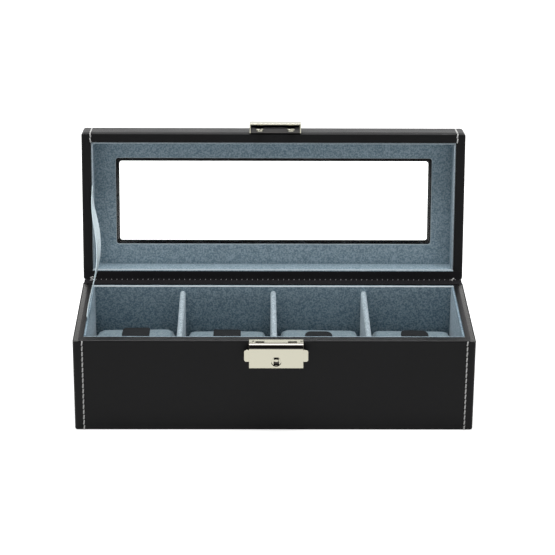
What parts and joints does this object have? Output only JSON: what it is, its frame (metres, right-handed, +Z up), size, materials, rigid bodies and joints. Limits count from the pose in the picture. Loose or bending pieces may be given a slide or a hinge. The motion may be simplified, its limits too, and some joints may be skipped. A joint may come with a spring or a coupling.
{
  "type": "watch box",
  "caption": "Leather-covered watch box with velour compartments and lift-out pillows, a windowed lid on a leather hinge, a ribbon stay and a sprung latch.",
  "frame": {"origin": "middle of the base's underside, on the surface it stands on", "axes": "+X to the right seen from the front, +Y towards the hinge, +Z up; the front with the lock faces -Y"},
  "size_m": [0.2912, 0.1652, 0.1918],
  "materials": {
    "leather_black": "smooth grained, semi-matt",
    "board": "raw fibreboard",
    "velour_grey": "short velour pile",
    "velour_pillow": "short velour pile over wadding",
    "tab_charcoal": "soft suede",
    "felt_black": "pressed felt",
    "nickel": "polished nickel plate",
    "glass": "clear, polished",
    "ribbon_satin": "woven satin"
  },
  "bodies": {
    "base": {"underside_felt": "felt_black", "base_floor_board": "board", "base_front_board": "board", "base_back_board": "board", "base_left_board": "board", "base_right_board": "board", "base_front_leather": "leather_black", "base_back_leather": "leather_black", "base_left_leather": "leather_black", "base_right_leather": "leather_black", "floor_lining": "velour_grey", "front_lining": "velour_grey", "back_lining": "velour_grey", "left_lining": "velour_grey", "right_lining": "velour_grey", "divider_1": "velour_grey", "divider_2": "velour_grey", "divider_3": "velour_grey", "lock_backplate": "nickel", "lock_case": "nickel", "lock_screws": "nickel", "slider_spring": "nickel", "hinge_leather": "leather_black", "lid_stay": "ribbon_satin"},
    "lid": {"lid_front_board": "board", "lid_back_board": "board", "lid_left_board": "board", "lid_right_board": "board", "lid_top_board": "board", "lid_front_leather": "leather_black", "lid_back_leather": "leather_black", "lid_left_leather": "leather_black", "lid_right_leather": "leather_black", "lid_top_leather": "leather_black", "window_pane": "glass", "lid_ceiling_lining": "velour_grey", "lid_front_lining": "velour_grey", "lid_back_lining": "velour_grey", "lid_left_lining": "velour_grey", "lid_right_lining": "velour_grey", "catch_case": "nickel", "catch_hooks": "nickel", "catch_screws": "nickel"},
    "latch_slider": {"latch_slider": "nickel"},
    "key_plug": {"key_plug": "nickel"},
    "pillow_1_body": {"pillow_1": "velour_pillow", "pillow_tab_1": "tab_charcoal"},
    "pillow_2_body": {"pillow_2": "velour_pillow", "pillow_tab_2": "tab_charcoal"},
    "pillow_3_body": {"pillow_3": "velour_pillow", "pillow_tab_3": "tab_charcoal"},
    "pillow_4_body": {"pillow_4": "velour_pillow", "pillow_tab_4": "tab_charcoal"}
  },
  "joints": [
    {"name": "lid_hinge", "type": "hinge", "parent": "base", "child": "lid", "pos_m": [0, 0.057, 0.0721], "axis": [1, 0, 0], "range_deg": [0, 98.8], "deforming": ["hinge_leather", "lid_stay"]},
    {"name": "latch_slide", "type": "slide", "parent": "base", "child": "latch_slider", "axis": [1, 0, 0], "range_m": [0, 0.0018], "stiffness_N_per_m": 400, "springref_m": -0.002, "deforming": ["slider_spring"]},
    {"name": "key_turn", "type": "hinge", "parent": "base", "child": "key_plug", "pos_m": [0.0012, -0.062, 0.0587], "axis": [0, -1, 0], "range_deg": [0, 90]},
    {"name": "pillow_1_lift", "type": "slide", "parent": "base", "child": "pillow_1_body", "axis": [0, 0, -1], "range_m": [-0.06, 0]},
    {"name": "pillow_2_lift", "type": "slide", "parent": "base", "child": "pillow_2_body", "axis": [0, 0, -1], "range_m": [-0.06, 0]},
    {"name": "pillow_3_lift", "type": "slide", "parent": "base", "child": "pillow_3_body", "axis": [0, 0, -1], "range_m": [-0.06, 0]},
    {"name": "pillow_4_lift", "type": "slide", "parent": "base", "child": "pillow_4_body", "axis": [0, 0, -1], "range_m": [-0.06, 0]}
  ]
}
